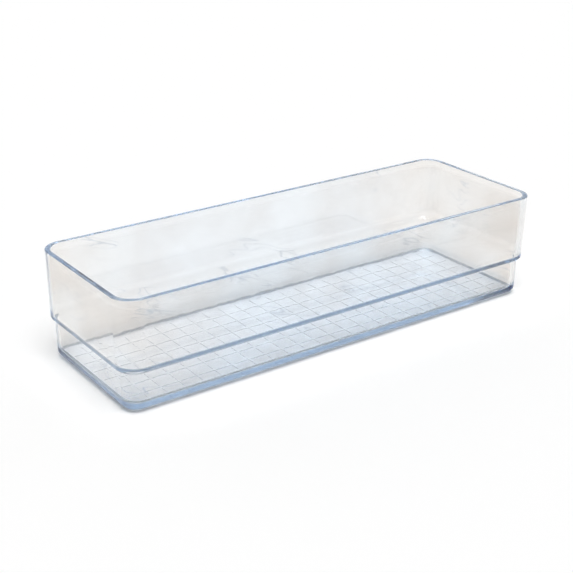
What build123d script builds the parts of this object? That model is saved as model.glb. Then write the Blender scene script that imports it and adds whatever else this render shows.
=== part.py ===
from build123d import *
import os
from math import atan2, pi, radians, tan

# A clear drawer tray, moulded in one piece, with a stacking step, on four non-slip pads.
# Millimetres, +Z up, +X along the length, the front towards -Y.
# The origin is on the table top, under the middle of the tray.

# Size of the tray without its pads
tray_length = 228.6
tray_width = 76.2
tray_height = 50.8

# Tray walls and their draft, in degrees
wall = 2.2
floor_thickness = 2.2
rim_corner_radius = 9.5
inner_corner_fill = 1.0
upper_draft = 1.0
lower_draft = 0.5

# Stacking step: the walls slope inwards here and keep their thickness.
# The lower body drops inside the rim of the tray beneath, and the slope sits on that rim.
step_height = 18.5
slope_height = 1.3
stack_clearance = 0.3
bend_inside_round = 0.8
bend_outside_round = 1.5

# Edge rounding, some of it as a share of the wall or corner that carries it
base_round = 2.6
rim_round_share = 0.2
floor_round_share = 0.5

# Square grid of ribs under the floor
grid_pitch = 9.0
rib_width = 1.6
rib_height = 0.1

# Non-slip pads, each stuck inside a corner cell of the rib grid
pad_thickness = 1.0
pad_clearance = 0.3
pad_edge_share = 0.25

# Levels above the table
base_level = pad_thickness
floor_level = base_level + floor_thickness
step_level = base_level + step_height
step_foot_level = step_level - slope_height
rim_level = base_level + tray_height

# How far each section of the walls lies inside the rim's outline
upper_slope = tan(radians(upper_draft))
lower_slope = tan(radians(lower_draft))
step_inset = (tray_height - step_height) * upper_slope
lower_inset = wall + stack_clearance
base_inset = lower_inset + (step_foot_level - base_level) * lower_slope

# The inner face of the step, one wall thickness from the outer one
slope_angle = atan2(slope_height, lower_inset - step_inset)
inner_top_level = step_level + wall * tan((pi / 2 - slope_angle) / 2)
inner_foot_level = inner_top_level - slope_height
inner_top_inset = wall + (rim_level - inner_top_level) * upper_slope
inner_foot_inset = wall + lower_inset
floor_inset = inner_foot_inset + (inner_foot_level - floor_level) * lower_slope

# Rounding radii
rim_round = rim_round_share * wall
floor_round = floor_round_share * (rim_corner_radius + inner_corner_fill - floor_inset)

# Rib grid and pad places
flat_inset = base_inset + base_round
flat_length = tray_length - 2 * flat_inset
flat_width = tray_width - 2 * flat_inset
cells_along = int(flat_length // grid_pitch)
cells_across = int(flat_width // grid_pitch)
pad_diameter = grid_pitch - rib_width - 2 * pad_clearance
pad_x = (cells_along - 1) * grid_pitch / 2
pad_y = (cells_across - 1) * grid_pitch / 2
pad_places = {
    "front_left_pad": (-pad_x, -pad_y),
    "front_right_pad": (pad_x, -pad_y),
    "rear_left_pad": (-pad_x, pad_y),
    "rear_right_pad": (pad_x, pad_y),
}

# Drafted blocks that make the tray: low level and inset, high level and inset
outer_blocks = (
    (base_level, base_inset, step_foot_level, lower_inset),
    (step_foot_level, lower_inset, step_level, step_inset),
    (step_level, step_inset, rim_level, 0),
)
cavity_blocks = (
    (floor_level, floor_inset, inner_foot_level, inner_foot_inset),
    (inner_foot_level, inner_foot_inset, inner_top_level, inner_top_inset),
    (inner_top_level, inner_top_inset, rim_level, wall),
)

# Groups of edges on a stack of three blocks, counted upwards
BOTTOM, LOWER_SIDES, SLOPE_FOOT, SLOPE_SIDES, SLOPE_TOP = range(5)


def outline(inset, corner_radius):
    """Rounded rectangle that lies inside the rim's outline by the inset."""
    RectangleRounded(
        tray_length - 2 * inset,
        tray_width - 2 * inset,
        corner_radius - inset,
    )


def drafted_block(low_level, low_inset, high_level, high_inset, corner_radius):
    """Straight-sided block between two rounded outlines."""
    with BuildSketch(Plane.XY.offset(low_level)) as low:
        outline(low_inset, corner_radius)
    with BuildSketch(Plane.XY.offset(high_level)) as high:
        outline(high_inset, corner_radius)
    loft([low.sketch, high.sketch], ruled=True)


def edge_ring(part, place):
    """Edges of one group, counted upwards."""
    return part.edges().group_by(Axis.Z)[place]


# Space inside the tray
with BuildPart() as cavity:
    for block in cavity_blocks:
        drafted_block(*block, rim_corner_radius + inner_corner_fill)
    fillet(edge_ring(cavity, SLOPE_TOP), bend_inside_round)
    fillet(edge_ring(cavity, SLOPE_FOOT), bend_outside_round)
    fillet(edge_ring(cavity, BOTTOM), floor_round)

# Tray
with BuildPart() as tray:
    for block in outer_blocks:
        drafted_block(*block, rim_corner_radius)
    fillet(edge_ring(tray, SLOPE_TOP), bend_outside_round)
    fillet(edge_ring(tray, SLOPE_FOOT), bend_inside_round)
    fillet(edge_ring(tray, BOTTOM), base_round)
    add(cavity.part, mode=Mode.SUBTRACT)
    fillet(tray.faces().sort_by(Axis.Z)[-1].edges(), rim_round)

    with BuildSketch(Plane.XY.offset(base_level)):
        with GridLocations(grid_pitch, 0, cells_along - 1, 1):
            Rectangle(rib_width, flat_width)
        with GridLocations(0, grid_pitch, 1, cells_across - 1):
            Rectangle(flat_length, rib_width)
    extrude(amount=-rib_height)

# Pads
pads = []
for name, place in pad_places.items():
    with BuildPart() as pad:
        with BuildSketch():
            with Locations(place):
                Circle(pad_diameter / 2)
        extrude(amount=pad_thickness)
        fillet(pad.faces().sort_by(Axis.Z)[0].edges(), pad_edge_share * pad_thickness)
    pad.part.label = name
    pads.append(pad.part)

tray.part.label = "tray"
os.makedirs("parts", exist_ok=True)
export_step(tray.part, "parts/tray.step")
for pad_part in pads:
    export_step(pad_part, f"parts/{pad_part.label}.step")
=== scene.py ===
# %% [markdown]
# A clear drawer tray
#
# The object is a long open tray, moulded in one shot of clear styrene plastic, on four small non-slip
# pads. Almost everything that the eye sees in it is bent light: the rim, the step and the base edge are
# blue lines only because light runs a long way inside the plastic there. Such lines could be painted on,
# but painted lines stay in place when the view turns. So this lesson builds a true closed shell of the
# right thickness, gives it the real refractive index and tint, and lets the renderer find the lines.
#
# The measured model is loaded first, as a fixed frame. The pieces made below take their places from it,
# ride on its one body, and each stands in for a plain solid.

# %% Load the measured model as a fixed frame
from math import atan2, cos, exp, pi, radians, sin, tan

import bmesh
import bpy
from mathutils import Matrix, Vector


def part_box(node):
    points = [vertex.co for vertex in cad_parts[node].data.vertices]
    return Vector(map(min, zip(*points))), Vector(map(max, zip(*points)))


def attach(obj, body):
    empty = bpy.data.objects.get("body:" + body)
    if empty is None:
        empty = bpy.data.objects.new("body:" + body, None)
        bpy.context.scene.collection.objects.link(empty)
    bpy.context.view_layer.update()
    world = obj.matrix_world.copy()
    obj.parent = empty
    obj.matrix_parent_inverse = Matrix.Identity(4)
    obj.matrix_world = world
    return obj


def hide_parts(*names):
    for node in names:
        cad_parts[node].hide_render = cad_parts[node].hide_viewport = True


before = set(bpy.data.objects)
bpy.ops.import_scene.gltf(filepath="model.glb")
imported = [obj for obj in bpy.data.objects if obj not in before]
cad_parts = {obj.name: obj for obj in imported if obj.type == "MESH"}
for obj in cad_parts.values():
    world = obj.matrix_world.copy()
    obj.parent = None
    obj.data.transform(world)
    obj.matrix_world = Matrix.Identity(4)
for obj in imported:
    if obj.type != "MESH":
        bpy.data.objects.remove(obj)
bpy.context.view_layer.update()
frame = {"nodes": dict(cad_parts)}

print("measured solids", ", ".join(frame["nodes"]))

# %% [markdown]
# A moulded wall is easiest to describe by its section, the outline that a saw cut would show: how far each
# point lies inside the rim's outline, and how high it is above the table. A thin sheet with a Solidify
# modifier would be quicker, but in clear plastic the inside of a wall shows as much as its outside, so each
# face gets its own line here. The levels come first. The rim and the base are read from the measured model,
# and the floor and the step are counted up from the base.

# %% Levels of the tray, in metres
MM = 0.001
FLOOR_THICKNESS = 2.2 * MM
STEP_HEIGHT = 18.5 * MM
SLOPE_HEIGHT = 1.3 * MM
# A box is given as its lowest and its highest corner, and the base rests on top of the pads.
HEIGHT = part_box("tray")[1].z
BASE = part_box("front_left_pad")[1].z
FLOOR = BASE + FLOOR_THICKNESS
STEP = BASE + STEP_HEIGHT
STEP_FOOT = STEP - SLOPE_HEIGHT
print("levels above the table, base", BASE / MM, "step", STEP / MM, "rim", HEIGHT / MM, "mm")

# %% [markdown]
# The walls lean outwards a little, so that the tray slips out of its mould, and they slope in at the step,
# so that a second tray stacks on the first. The corners of the section could be typed in as points. They
# are worked out from the sizes instead, because the wall then keeps its thickness along the slope. That
# evenness matters: it shifts what lies behind only a little, so the step shows as a thin line, not as a
# wide dark band.

# %% Corners of the section
WALL = 2.2 * MM
STACK_CLEARANCE = 0.3 * MM
UPPER_SLOPE = tan(radians(1.0))
LOWER_SLOPE = tan(radians(0.5))
step_inset = (HEIGHT - STEP) * UPPER_SLOPE
lower_inset = WALL + STACK_CLEARANCE
base_inset = lower_inset + (STEP_FOOT - BASE) * LOWER_SLOPE

slope_angle = atan2(SLOPE_HEIGHT, lower_inset - step_inset)
inner_top = STEP + WALL * tan((pi / 2 - slope_angle) / 2)
inner_foot = inner_top - SLOPE_HEIGHT
inner_top_inset = WALL + (HEIGHT - inner_top) * UPPER_SLOPE
inner_foot_inset = WALL + lower_inset
floor_inset = inner_foot_inset + (inner_foot - FLOOR) * LOWER_SLOPE
print("step from inset", step_inset / MM, "to", lower_inset / MM, "mm, inside from", inner_top / MM, "mm up")

# %% [markdown]
# A mould gives each of these corners a radius. A Bevel modifier could round them after the sweep, with a
# weight for each edge. A short function that puts true arcs into the section is plainer, and each corner
# keeps its radius in millimetres.

# %% Turn corners into arcs
ARC_STEPS = 8


def rounded(corners):
    """Points along a path of (inset, height, radius) corners, with each corner turned into an arc."""
    path = [Vector(corner[:2]) for corner in corners]
    points = [path[0]]
    for before, here, after, corner in zip(path, path[1:], path[2:], corners[1:]):
        to_before = (before - here).normalized()
        to_after = (after - here).normalized()
        half_angle = to_before.angle(to_after) / 2
        reach = corner[2] / tan(half_angle)
        centre = here + (to_before + to_after).normalized() * corner[2] / sin(half_angle)
        start = here + to_before * reach - centre
        sweep = start.angle_signed(here + to_after * reach - centre)
        for i in range(ARC_STEPS + 1):
            turn = Matrix.Rotation(-sweep * i / ARC_STEPS, 2)
            points.append(centre + turn @ start)
    return points + [path[-1]]


print("each corner becomes", ARC_STEPS + 1, "points")

# %% [markdown]
# The arcs are the lenses that draw the bright and dark lines along the edges. Chamfers would take fewer
# points, but they would draw the wrong lines. So every corner is listed with its own radius, from the
# underside up the outside, over the rim and down the inside to the floor. Both ends of the section run on a
# little past the last arc, as flat underside and flat floor.

# %% The rounded section
RIM_CORNER = 9.5 * MM
CORNER_FILL = 1.0 * MM
BASE_ROUND = 2.6 * MM
BEND_INSIDE = 0.8 * MM
BEND_OUTSIDE = 1.5 * MM
RIM_ROUND_SHARE = 0.2
FLOOR_ROUND_SHARE = 0.5
UNDERSIDE_RUN_SHARE = 1.1
FLOOR_RUN_SHARE = 1.2
rim_round = RIM_ROUND_SHARE * WALL
floor_round = FLOOR_ROUND_SHARE * (RIM_CORNER + CORNER_FILL - floor_inset)
section = rounded([
    (base_inset + UNDERSIDE_RUN_SHARE * BASE_ROUND, BASE, 0),
    (base_inset, BASE, BASE_ROUND),
    (lower_inset, STEP_FOOT, BEND_INSIDE),
    (step_inset, STEP, BEND_OUTSIDE),
    (0, HEIGHT, rim_round),
    (WALL, HEIGHT, rim_round),
    (inner_top_inset, inner_top, BEND_INSIDE),
    (inner_foot_inset, inner_foot, BEND_OUTSIDE),
    (floor_inset, FLOOR, floor_round),
    (floor_inset + FLOOR_RUN_SHARE * floor_round, FLOOR, 0),
])
print("section points", len(section))

# %% [markdown]
# Seen from above, every level of the tray is the same rounded rectangle, only drawn in by its inset. A curve
# with the section as its bevel could sweep it round, but then the inside and outside corners share one
# centre. In most mouldings the inside corners are rounder than that, so the plastic is a little thicker at
# the bends. A function that gives the points of one level allows for it in a few lines.

# %% One ring of points round the tray
LENGTH = 228.6 * MM
WIDTH = 76.2 * MM
CORNER_STEPS = 20
CORNER_SIDES = ((-1, -1), (1, -1), (1, 1), (-1, 1))


def ring(inset, level, corner):
    """Points round the tray at one inset and level, counter-clockwise from the front left corner."""
    radius = corner - inset
    points = []
    for quarter, (side_x, side_y) in enumerate(CORNER_SIDES):
        centre_x = side_x * (LENGTH / 2 - corner)
        centre_y = side_y * (WIDTH / 2 - corner)
        for i in range(CORNER_STEPS + 1):
            angle = pi + (quarter + i / CORNER_STEPS) * pi / 2
            points.append((centre_x + radius * cos(angle), centre_y + radius * sin(angle), level))
    return points


print("points in a ring", len(ring(0, HEIGHT, RIM_CORNER)))

# %% [markdown]
# Each section point becomes one ring of vertices, and neighbouring rings are joined by four-sided faces. A
# boolean cut would also give a shell, but with long thin faces that shade unevenly, and clear plastic shows
# every one of them. The rings at the foot of the base edge also carry a number for a painted contact shadow,
# a thin dark line along the foot of the base edge. A number on the mesh follows that edge exactly, which a
# pattern in space would not.

# %% Sweep the section
# The first four arcs of the section are on the outside.
OUTSIDE_ARCS = 4
# How much painted contact shadow the first rings carry, counted outwards from the flat underside.
CONTACT_SHADOW_SHARES = (0.0, 1.0, 1.0, 1.0, 1.0, 0.5)
outside_points = 1 + OUTSIDE_ARCS * (ARC_STEPS + 1)
shell = bmesh.new()
# This layer holds the share of painted contact shadow at each vertex.
contact_shadow_layer = shell.verts.layers.float.new("contact_shadow")
rings = []
for i, point in enumerate(section):
    corner = RIM_CORNER if i < outside_points else RIM_CORNER + CORNER_FILL
    rings.append([shell.verts.new(place) for place in ring(point.x, point.y, corner)])
    for vertex in rings[-1]:
        vertex[contact_shadow_layer] = CONTACT_SHADOW_SHARES[i] if i < len(CONTACT_SHADOW_SHARES) else 0.0
for outer, inner in zip(rings, rings[1:]):
    for i, vertex in enumerate(outer):
        j = (i + 1) % len(outer)
        shell.faces.new((vertex, outer[j], inner[j], inner[i]))
shell.faces.new(rings[-1])
print("swept faces", len(shell.faces))

# %% [markdown]
# The mould has a square grid of fine grooves cut in it, which leave low ribs on the underside. A bump
# pattern could fake them, but then the exported mesh would lack them. So the underside is a height field,
# a mesh of squares whose points drop where a rib runs. Each rib is a soft ridge a tenth of a millimetre
# high. Its flanks tilt by about eleven degrees, enough to bend the light into a thin line without hiding
# the floor. This cell lists the places that a row of ribs needs, in each direction.

# %% Ridges along and across
PITCH = 9.0 * MM
RIB_WIDTH = 1.6 * MM
RIB_HEIGHT = 0.1 * MM
RIB_STEPS = 8
RIB_END = 2.0 * MM
RIB_FADE = 0.8 * MM
flat_length = LENGTH - 2 * (base_inset + BASE_ROUND)
flat_width = WIDTH - 2 * (base_inset + BASE_ROUND)
cells_along = int(flat_length // PITCH)
cells_across = int(flat_width // PITCH)


def rib_stations(cells):
    """Places across a row of ribs, each with the rib's drop there."""
    span = cells * PITCH
    edge = span / 2 - RIB_END
    stations = [(-edge, 0.0), (RIB_FADE - edge, 0.0)]
    for rib in range(1, cells):
        middle = rib * PITCH - span / 2
        for i in range(RIB_STEPS + 1):
            share = 2 * i / RIB_STEPS - 1
            drop = RIB_HEIGHT * (1 + cos(pi * share)) / 2
            stations.append((middle + share * RIB_WIDTH / 2, drop))
    return stations + [(edge - RIB_FADE, 0.0), (edge, 0.0)]


columns = rib_stations(cells_along)
rows = rib_stations(cells_across)
print("rib cells", cells_along, "by", cells_across, "with", len(columns) * len(rows), "points")

# %% [markdown]
# The height field's border stays flat, and triangles join it to the swept rings. The two borders could be
# bridged, but one is a rounded outline and the other a rectangle with far more points, so they don't match
# up. Triangle Fill doesn't mind, and on flat plastic its triangles don't show. After it no edge may be left
# open, because only a closed shell can hold a tint.

# %% Height field that closes the underside
grid = []
for i, (x, drop_x) in enumerate(columns):
    line = []
    for j, (y, drop_y) in enumerate(rows):
        border = i in (0, len(columns) - 1) or j in (0, len(rows) - 1)
        drop = 0.0 if border else max(drop_x, drop_y)
        line.append(shell.verts.new((x, y, BASE - drop)))
    grid.append(line)
for left, right in zip(grid, grid[1:]):
    for a, b, c, d in zip(left, right, right[1:], left[1:]):
        shell.faces.new((a, d, c, b))
border_edges = [edge for edge in shell.edges if len(edge.link_faces) == 1]
bmesh.ops.triangle_fill(shell, use_beauty=False, edges=border_edges)
bmesh.ops.recalc_face_normals(shell, faces=shell.faces)
open_edges = [edge for edge in shell.edges if len(edge.link_faces) != 2]
print("faces", len(shell.faces), "open edges", len(open_edges))

# %% [markdown]
# The shell now becomes an object. Flat shading would show every face of the arcs, and plain smooth shading
# would bend the flat walls near them. Smooth shading with weighted normals keeps the walls flat and rounds
# only the arcs. The piece rides on the one body, and stands in for the measured tray.

# %% Make the tray piece
LARGE_FACES_LEAD = 100
scene = bpy.context.scene


def smooth_piece(name, shape):
    """A smooth-shaded object in the scene, made from a finished shape."""
    mesh = bpy.data.meshes.new(name)
    shape.to_mesh(mesh)
    shape.free()
    mesh.shade_smooth()
    piece = bpy.data.objects.new(name, mesh)
    scene.collection.objects.link(piece)
    return piece


tray = smooth_piece("tray_shell", shell)
weighted = tray.modifiers.new("flat faces stay flat", "WEIGHTED_NORMAL")
weighted.weight = LARGE_FACES_LEAD
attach(tray, "root")
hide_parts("tray")
print("tray piece", tray.name, "with", len(tray.data.vertices), "vertices")

# %% [markdown]
# The finishes come next. Materials take linear light, but colours are picked on a screen, so one function
# turns a hex value into the linear colour. A material could be wired up by hand in the Shader Editor. In a
# script, each node would take a line for every option and link, so another function adds a node with all
# of them in one call, and a material then reads as a short list.

# %% Helpers for colours and nodes
def linear(hex_colour):
    """An sRGB hex colour as the linear colour that a shader takes."""
    channels = [int(hex_colour[i:i + 2], 16) / 255 for i in (1, 3, 5)]
    return [c / 12.92 if c <= 0.04045 else ((c + 0.055) / 1.055) ** 2.4 for c in channels] + [1.0]


def add_node(tree, kind, inputs=None, **settings):
    """Adds a node, sets its options and fills its inputs: a node or an output is linked, a value is set."""
    node = tree.nodes.new(kind)
    for option, value in settings.items():
        setattr(node, option, value)
    shown = [socket for socket in node.inputs if socket.enabled]
    for name, value in (inputs or {}).items():
        socket = shown[name] if isinstance(name, int) else next(s for s in shown if s.name == name)
        if isinstance(value, bpy.types.Node):
            value = next(output for output in value.outputs if output.enabled)
        if isinstance(value, bpy.types.NodeSocket):
            tree.links.new(value, socket)
        else:
            socket.default_value = value
    return node


def new_material(name):
    """An empty node material and its tree."""
    material = bpy.data.materials.new(name)
    material.use_nodes = True
    material.node_tree.nodes.clear()
    return material, material.node_tree


print("a screen's middle grey, #808080, is", round(linear("#808080")[0], 3), "in linear light")

# %% [markdown]
# Crystal polystyrene is the hard, glassy plastic of clear boxes. It comes out of a polished mould, so its
# skin is as smooth as glass. It bends light more than acrylic does, and makers add a trace of blue toner to
# hide its natural yellow. The blue could be a surface colour, but then thin walls would be as blue as thick
# edges. In an absorbing volume it is hardly visible through a wall, and plain to see along an edge, where
# light runs for centimetres inside the plastic. The toner's density is set so that light which crosses the
# floor from back to front, about 80 mm, loses most of its red and little of its blue.

# %% Blue toner in clear polystyrene
TONER_COLOUR = linear("#77BCE8")
TONER_DENSITY = 15.0
CROSSING = 80 * MM
# To the eye: a wet, glassy shine, no colour where it is thin, and blue where light runs far inside it.
plastic, tree = new_material("clear polystyrene, polished as moulded")
toner = add_node(tree, "ShaderNodeVolumeAbsorption", {"Color": TONER_COLOUR, "Density": TONER_DENSITY})
left_over = [exp(-TONER_DENSITY * (1 - c) * CROSSING) for c in TONER_COLOUR[:3]]
print("red, green and blue light left after a crossing", [round(share, 2) for share in left_over])

# %% [markdown]
# No moulding is perfect, and the faults are what make it look real. The plastic shrinks unevenly as it
# cools, which leaves shallow waves about 14 mm long in every wall, and they make the rim lines waver a
# little. They could be modelled, but they are only hundredths of a millimetre deep, so a bump of the
# shading is enough. Each pattern below is a noise whose scale is worked out from a size in millimetres.

# %% Waves in the walls
WAVE_LENGTH = 14 * MM
WAVE_DEPTH = 0.06 * MM
spot = add_node(tree, "ShaderNodeTexCoord").outputs["Object"]
axes = add_node(tree, "ShaderNodeSeparateXYZ", {"Vector": spot})
height = axes.outputs["Z"]
shrinkage = add_node(tree, "ShaderNodeTexNoise", {"Vector": spot, "Scale": 1 / WAVE_LENGTH, "Detail": 2.0})
waves = add_node(tree, "ShaderNodeBump", {"Height": shrinkage, "Strength": 1.0, "Distance": WAVE_DEPTH})
print("waves", WAVE_LENGTH / MM, "mm long and", WAVE_DEPTH / MM, "mm deep at most")

# %% [markdown]
# The underside comes from a coarser part of the mould. Its flat face is slightly matt, and its grain breaks
# up the light in the base edge. A second material on those faces would end in a hard line. A share that
# fades out with height, over the round of the base edge, blends both into the polished walls.

# %% Grain and matt face under the base
# Real grain of this kind is about 0.2 mm, finer than a pixel, so it is drawn as coarse as it needs to show.
GRAIN_SIZE = 1.2 * MM
GRAIN_DEPTH = 0.08 * MM
UNDERSIDE_ROUGHNESS = 0.3
FLAT_FACE_FROM = 0.85
underside = add_node(tree, "ShaderNodeMapRange", {
    "Value": height, "From Min": BASE, "From Max": BASE + BASE_ROUND, "To Min": 1.0, "To Max": 0.0,
})
etching = add_node(tree, "ShaderNodeTexNoise", {"Vector": spot, "Scale": 1 / GRAIN_SIZE, "Detail": 1.0})
grain = add_node(tree, "ShaderNodeMath", {0: etching, 1: underside}, operation="MULTIPLY")
skin = add_node(tree, "ShaderNodeBump", {
    "Height": grain, "Strength": 1.0, "Distance": GRAIN_DEPTH, "Normal": waves,
})
matt = add_node(tree, "ShaderNodeMapRange", {
    "Value": underside, "From Min": FLAT_FACE_FROM, "From Max": 1.0, "To Max": UNDERSIDE_ROUGHNESS,
})
print("grain", GRAIN_DEPTH / MM, "mm deep at most, roughness of the flat face", UNDERSIDE_ROUGHNESS)

# %% [markdown]
# Hands leave a cloudy film on the walls. Its tints are warm at the two ends and cool in the middle, and that
# shift is a painted reflection of the room. The film could be a painted picture, but that needs an unwrapped
# mesh. A noise in space, with clouds about 30 mm across, needs none and has no seams. Four pale tints are
# enough: thick and thin film, at the ends and in the middle.

# %% Tint of the film, with a painted reflection warm at the ends
CLOUD_SIZE = 30 * MM
CLOUD_LOW, CLOUD_HIGH = 0.35, 0.65
# Between these distances from the middle, the film's tints turn from cool to warm: a painted reflection.
WARM_REFLECTION_FROM = 60 * MM
WARM_REFLECTION_TO = 112 * MM
smears = add_node(tree, "ShaderNodeTexNoise", {"Vector": spot, "Scale": 1 / CLOUD_SIZE, "Detail": 2.0})
wiped = add_node(tree, "ShaderNodeMapRange", {"Value": smears, "From Min": CLOUD_LOW, "From Max": CLOUD_HIGH})
from_middle = add_node(tree, "ShaderNodeMath", {0: axes.outputs["X"]}, operation="ABSOLUTE")
less_warm_reflection = add_node(tree, "ShaderNodeMapRange", {
    "Value": from_middle, "From Min": WARM_REFLECTION_FROM, "From Max": WARM_REFLECTION_TO, "To Min": 1.0, "To Max": 0.0,
})
thick_film = add_node(tree, "ShaderNodeMix", {
    "Factor": less_warm_reflection, "A": linear("#F6F0EA"), "B": linear("#F3F3F3"),
}, data_type="RGBA")
thin_film = add_node(tree, "ShaderNodeMix", {
    "Factor": less_warm_reflection, "A": linear("#FAF8F5"), "B": linear("#F7FAFC"),
}, data_type="RGBA")
film = add_node(tree, "ShaderNodeMix", {"Factor": wiped, "A": thick_film, "B": thin_film}, data_type="RGBA")
print("film in clouds of", CLOUD_SIZE / MM, "mm, warmer from", WARM_REFLECTION_FROM / MM, "mm off the middle")

# %% [markdown]
# A few hair-thin scratches run slantwise. Thin curves laid on the walls could be scratches, but each would
# have to be placed by hand. Here a scratch is drawn along one level of a stretched noise, the way that a
# contour line is drawn on a map, and a second noise keeps only some of them.

# %% Scratches
# A real scratch is thinner than a pixel, so it is drawn a few tenths of a millimetre wide.
SCRATCH_SPACING = 16 * MM
SCRATCH_SLANT = radians(20)
SCRATCH_STRETCH = (4.0, 1.0, 0.6)
SCRATCH_LEVEL = 0.5
SCRATCH_WIDTH = 0.008
PATCH_SIZE = 22 * MM
PATCH_LOW, PATCH_HIGH = 0.56, 0.64
slanted = add_node(tree, "ShaderNodeMapping", {
    "Vector": spot, "Rotation": (0, SCRATCH_SLANT, 0), "Scale": SCRATCH_STRETCH,
}, vector_type="TEXTURE")
strokes = add_node(tree, "ShaderNodeTexNoise", {
    "Vector": slanted, "Scale": 1 / SCRATCH_SPACING, "Detail": 2.0,
})
contour = add_node(tree, "ShaderNodeMath", {0: strokes, 1: SCRATCH_LEVEL}, operation="SUBTRACT")
off_contour = add_node(tree, "ShaderNodeMath", {0: contour}, operation="ABSOLUTE")
hairline = add_node(tree, "ShaderNodeMapRange", {
    "Value": off_contour, "From Max": SCRATCH_WIDTH, "To Min": 1.0, "To Max": 0.0,
})
patches = add_node(tree, "ShaderNodeTexNoise", {"Vector": spot, "Scale": 1 / PATCH_SIZE, "Detail": 0.0})
kept = add_node(tree, "ShaderNodeMapRange", {"Value": patches, "From Min": PATCH_LOW, "From Max": PATCH_HIGH})
scratches = add_node(tree, "ShaderNodeMath", {0: hairline, 1: kept}, operation="MULTIPLY")
print("scratches in patches of about", PATCH_SIZE / MM, "mm")

# %% [markdown]
# Now the tones are laid over each other. The floor is handled least, so it stays clearest, and the walls
# take over a few millimetres above it. A painted contact shadow, a thin dark grey line, lies along the foot
# of the base edge, where the mesh carries its number for it. Each layer could be a shader of its own. Mixing
# only the colours is lighter, and it is kept when the model is exported.

# %% Tone of the whole surface
HANDLED_FROM = BASE + 2.5 * MM
HANDLED_TO = BASE + 6 * MM
walls_tone = add_node(tree, "ShaderNodeMix", {
    "Factor": scratches, "A": film, "B": linear("#C9CFD8"),
}, data_type="RGBA")
handled = add_node(tree, "ShaderNodeMapRange", {
    "Value": height, "From Min": HANDLED_FROM, "From Max": HANDLED_TO,
})
clean_tone = add_node(tree, "ShaderNodeMix", {
    "Factor": handled, "A": linear("#FDFEFF"), "B": walls_tone,
}, data_type="RGBA")
# The dark grey #5C6876 mixed in here is painted shade: a contact shadow along the foot of the base edge.
contact_shadow = add_node(tree, "ShaderNodeAttribute", attribute_name="contact_shadow").outputs["Fac"]
surface_tone = add_node(tree, "ShaderNodeMix", {
    "Factor": contact_shadow, "A": clean_tone, "B": linear("#5C6876"),
}, data_type="RGBA")
print("handled walls start", HANDLED_FROM / MM, "mm above the table")

# %% [markdown]
# A film doesn't only tint, it also scatters: it is pale in front of something dark and grey in front of
# something white. A thin second shell could carry it, but a slightly lower transmission gives the same veil
# with no extra surface. The veil is kept off the rim and the step, where stacked trays rub each other
# clean, and off the lower walls, which a second tray covers. The grains of a film touch the plastic at a
# few points only, so light that runs inside a wall turns back before it reaches them. Backfacing tells the
# inside of the closed shell from its outside.

# %% Veil of the film
VEIL_THICK, VEIL_THIN = 0.22, 0.14
ABOVE_STEP_FROM, ABOVE_STEP_TO = STEP + 2.5 * MM, STEP + 5.0 * MM
BELOW_RIM_TO, BELOW_RIM_FROM = HEIGHT - 4.0 * MM, HEIGHT - 2.5 * MM
above_step = add_node(tree, "ShaderNodeMapRange", {
    "Value": height, "From Min": ABOVE_STEP_FROM, "From Max": ABOVE_STEP_TO,
})
below_rim = add_node(tree, "ShaderNodeMapRange", {
    "Value": height, "From Min": BELOW_RIM_TO, "From Max": BELOW_RIM_FROM, "To Min": 1.0, "To Max": 0.0,
})
inside = add_node(tree, "ShaderNodeNewGeometry").outputs["Backfacing"]
outside = add_node(tree, "ShaderNodeMapRange", {"Value": inside, "To Min": 1.0, "To Max": 0.0})
veil = add_node(tree, "ShaderNodeMapRange", {"Value": wiped, "To Min": VEIL_THICK, "To Max": VEIL_THIN})
for share in (above_step, below_rim, outside):
    veil = add_node(tree, "ShaderNodeMath", {0: veil, 1: share}, operation="MULTIPLY")
clear_share = add_node(tree, "ShaderNodeMapRange", {"Value": veil, "To Min": 1.0, "To Max": 0.0})
print("the film scatters", VEIL_THIN, "to", VEIL_THICK, "of the light on the upper walls")

# %% [markdown]
# With the patterns made, the shader itself is short. Glass and Diffuse shaders could be mixed for it, but
# the Principled shader holds both in one, and it is the one that exports well. Its refractive index of
# 1.59 is that of polystyrene. Roughness is zero except under the base, so the walls keep their polish.

# %% Clear polystyrene, polished as moulded
POLYSTYRENE_IOR = 1.59
body = add_node(tree, "ShaderNodeBsdfPrincipled", {
    "Base Color": surface_tone,
    "Roughness": matt,
    "IOR": POLYSTYRENE_IOR,
    "Transmission Weight": clear_share,
    "Normal": skin,
})
add_node(tree, "ShaderNodeOutputMaterial", {"Surface": body, "Volume": toner})
tray.data.materials.append(plastic)
print(plastic.name, "has", len(tree.nodes), "nodes")

# %% [markdown]
# The pads are clear silicone, a soft rubber that grips the drawer. It bends light less than the tray does,
# with a refractive index of 1.41, and its moulded skin is satin. One roughness all over would do from afar,
# but pores that vary the roughness and dent the skin a little keep the pads from looking like glass.

# %% Clear silicone, satin
# The real pores are under a tenth of a millimetre, so they are drawn as coarse as they need to show.
PORE_SIZE = 0.4 * MM
PORE_DEPTH = 0.01 * MM
PORE_LOW, PORE_HIGH = 0.3, 0.7
SMOOTHEST, ROUGHEST = 0.05, 0.2
SILICONE_IOR = 1.41
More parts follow.
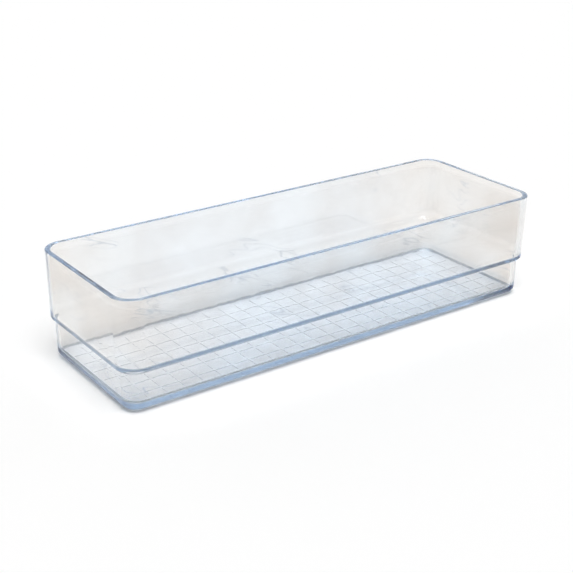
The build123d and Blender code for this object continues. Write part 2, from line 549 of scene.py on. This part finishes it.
# To the eye: a hazy, colourless disc with a soft shine, seen through the floor as a faint ring.
silicone, tree = new_material("clear silicone, satin")
spot = add_node(tree, "ShaderNodeTexCoord").outputs["Object"]
pores = add_node(tree, "ShaderNodeTexNoise", {"Vector": spot, "Scale": 1 / PORE_SIZE, "Detail": 1.0})
pitted = add_node(tree, "ShaderNodeBump", {"Height": pores, "Strength": 1.0, "Distance": PORE_DEPTH})
satin = add_node(tree, "ShaderNodeMapRange", {
    "Value": pores, "From Min": PORE_LOW, "From Max": PORE_HIGH, "To Min": SMOOTHEST, "To Max": ROUGHEST,
})
gel = add_node(tree, "ShaderNodeBsdfPrincipled", {
    "Base Color": linear("#F4F6F8"),
    "Roughness": satin,
    "IOR": SILICONE_IOR,
    "Transmission Weight": 1.0,
    "Normal": pitted,
})
add_node(tree, "ShaderNodeOutputMaterial", {"Surface": gel})
print(silicone.name, "has", len(tree.nodes), "nodes")

# %% [markdown]
# Each pad is a small disc, stuck in a corner cell of the grid, with a soft lower edge. A cylinder with a
# Bevel modifier would come close. A profile spun round, as on a lathe, can use the same arcs as the tray's
# section, and it gives each edge its own radius.

# %% Turn a disc from a profile
PAD_SIDES = 48


def turned_disc(middle, profile):
    """A closed disc, spun from (radius, level) points about an upright line through the middle."""
    disc = bmesh.new()
    angles = [2 * pi * i / PAD_SIDES for i in range(PAD_SIDES)]
    levels = []
    for radius, level in profile:
        around = [(middle.x + radius * cos(angle), middle.y + radius * sin(angle), level) for angle in angles]
        levels.append([disc.verts.new(place) for place in around])
    for lower, upper in zip(levels, levels[1:]):
        for i, vertex in enumerate(lower):
            j = (i + 1) % PAD_SIDES
            disc.faces.new((vertex, lower[j], upper[j], upper[i]))
    disc.faces.new(list(reversed(levels[0])))
    disc.faces.new(levels[-1])
    bmesh.ops.recalc_face_normals(disc, faces=disc.faces)
    return disc


print("a disc has", PAD_SIDES, "sides")

# %% [markdown]
# A loop makes the four pads, each in the box of its measured solid. A pad could touch the plastic above it
# and the table below, as the real one does. It stops a hair short of both instead, because surfaces that
# lie in the same place render as noise.

# %% The four pads
PAD_GAP = 0.02 * MM
PAD_EDGE_SHARE = 0.25
PAD_TOP_SHARE = 0.25
for name in ("front_left_pad", "front_right_pad", "rear_left_pad", "rear_right_pad"):
    low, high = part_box(name)
    radius = (high.x - low.x) / 2
    foot = low.z + PAD_GAP
    top = high.z - PAD_GAP
    edge = PAD_EDGE_SHARE * (high.z - low.z)
    corners = [(0, foot, 0), (radius, foot, edge), (radius, top, PAD_TOP_SHARE * edge), (0, top, 0)]
    pad = smooth_piece(name + "_disc", turned_disc((low + high) / 2, rounded(corners)[1:-1]))
    pad.modifiers.new("flat faces stay flat", "WEIGHTED_NORMAL")
    pad.data.materials.append(silicone)
    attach(pad, "root")
    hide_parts(name)
    print(pad.name, "is", round(2 * radius / MM, 2), "mm across")

# %% [markdown]
# Clear plastic has no colour of its own to show, it shows its surroundings. So the table matters as much as
# the tray. A curved paper backdrop is the usual way to an endless white. A plain white sheet that runs far
# out of the picture does the same here, and it keeps the tray's soft shadow.

# %% White table
TABLE_SIZE = 12.0
# To the eye: an even white with no shine, so that only the shadow shows on it.
laminate, tree = new_material("white laminate, matt")
sheet = add_node(tree, "ShaderNodeBsdfDiffuse", {"Color": linear("#FFFFFF")})
add_node(tree, "ShaderNodeOutputMaterial", {"Surface": sheet})
bpy.ops.mesh.primitive_plane_add(size=TABLE_SIZE)
table = bpy.context.object
table.name = "table"
table.data.materials.append(laminate)
print("table", TABLE_SIZE, "m wide")

# %% [markdown]
# The room is bright behind the tray, and dim on the camera's side and overhead. Area lamps and dark cards
# could be set up round the tray, as in a studio. A world that changes with the direction does the same, with
# nothing that gets in the way of another view. The edges of the tray pick up the dim parts, and so they
# stand out from the white.

# %% Room: bright behind the tray, dim in front and above
FRONT, BACKDROP, CEILING = 0.2, 1.0, 0.3
FRONT_UP_TO, BACKDROP_FROM = -0.2, 0.4
CEILING_FADES_IN, CEILING_FROM = 0.45, 0.75
LOOK = radians(35.233)
ahead = (sin(LOOK), cos(LOOK), 0)
world = bpy.data.worlds.new("soft room")
scene.world = world
world.use_nodes = True
tree = world.node_tree
tree.nodes.clear()
way = add_node(tree, "ShaderNodeTexCoord").outputs["Generated"]
away = add_node(tree, "ShaderNodeVectorMath", {0: way, 1: ahead}, operation="DOT_PRODUCT")
up = add_node(tree, "ShaderNodeSeparateXYZ", {"Vector": way}).outputs["Z"]
walls = add_node(tree, "ShaderNodeMapRange", {
    "Value": away, "From Min": FRONT_UP_TO, "From Max": BACKDROP_FROM, "To Min": FRONT, "To Max": BACKDROP,
})
above = add_node(tree, "ShaderNodeMapRange", {
    "Value": up, "From Min": CEILING_FADES_IN, "From Max": CEILING_FROM,
})
level = add_node(tree, "ShaderNodeMix", {"Factor": above, "A": walls, "B": CEILING}, data_type="FLOAT")
room = add_node(tree, "ShaderNodeBackground", {"Color": linear("#FFFFFF"), "Strength": level})
add_node(tree, "ShaderNodeOutputWorld", {"Surface": room})
print("room levels, front", FRONT, "back", BACKDROP, "ceiling", CEILING)

# %% [markdown]
# One wide lamp, high up on the camera's side, brings the table up to white and throws the soft shadow back,
# behind the tray. An area lamp would fade towards the far end of the table, so this is a sun, which is the
# same everywhere. Its disc is 40 degrees wide, and that makes the shadow soft. A sun of strength pi lights
# a white sheet that faces it to white, so the level here is a share of that, and the room gives the rest.

# %% One wide soft lamp
LAMP_LEVEL = 0.64
LAMP_WIDTH = radians(40)
LAMP_HEIGHT, LAMP_SIDE = radians(70), radians(-15)
lamp = bpy.data.lights.new("wide soft lamp", "SUN")
lamp.energy = LAMP_LEVEL * pi
lamp.angle = LAMP_WIDTH
lamp_object = bpy.data.objects.new("wide soft lamp", lamp)
lamp_object.rotation_euler = (pi / 2 - LAMP_HEIGHT, 0, LAMP_SIDE)
scene.collection.objects.link(lamp_object)
print("lamp's share of the table's light", round(LAMP_LEVEL * sin(LAMP_HEIGHT), 2))

# %% [markdown]
# The camera looks down at the tray's front left corner. It could be placed by eye, but clear plastic shows
# its shape mostly in lines, and they fall right only from the right place. So the lens and the place were
# fitted to the straight edges of the tray: focal length and picture centre in pixels of a 573-pixel frame,
# place in millimetres, then turn, tilt and roll.

# %% Camera at the photograph's angle
FRAME = 573
FOCAL = 1202.37
CENTRE_X, CENTRE_Y = 268.345, 284.998
CAMERA_PLACE = Vector((-312.298, -416.532, 244.146)) * MM
CAMERA_TILT = radians(90 - 23.438)
CAMERA_ROLL = radians(0.318)
SENSOR_WIDTH = 36.0
NEAREST = 10 * MM
camera_data = bpy.data.cameras.new("camera")
camera_data.sensor_width = SENSOR_WIDTH
camera_data.lens = FOCAL * SENSOR_WIDTH / FRAME
camera_data.shift_x = (FRAME / 2 - CENTRE_X) / FRAME
camera_data.shift_y = (CENTRE_Y - FRAME / 2) / FRAME
camera_data.clip_start = NEAREST
camera = bpy.data.objects.new("camera", camera_data)
scene.collection.objects.link(camera)
turn = Matrix.Rotation(-LOOK, 4, "Z")
tilt = Matrix.Rotation(CAMERA_TILT, 4, "X")
roll = Matrix.Rotation(CAMERA_ROLL, 4, "Z")
camera.matrix_world = Matrix.Translation(CAMERA_PLACE) @ turn @ tilt @ roll
scene.camera = camera
print("lens", round(camera_data.lens, 1), "mm, camera", round(CAMERA_PLACE.length, 3), "m from the origin")

# %% [markdown]
# Light that enters an edge bounces many times inside the plastic before it comes out. With the usual limits
# those paths end early and the edges turn dark, so the limits are raised. Filter Glossy is off, because it
# blurs what is seen through the walls. The Standard view shows each colour as it was written.

# %% Light paths
CLEAR_BOUNCES = 48
DIFFUSE_BOUNCES = 12
scene.view_settings.view_transform = "Standard"
scene.cycles.blur_glossy = 0.0
scene.cycles.max_bounces = CLEAR_BOUNCES
scene.cycles.diffuse_bounces = DIFFUSE_BOUNCES
scene.cycles.glossy_bounces = CLEAR_BOUNCES
scene.cycles.transmission_bounces = CLEAR_BOUNCES
print("light may bounce", CLEAR_BOUNCES, "times in the plastic")
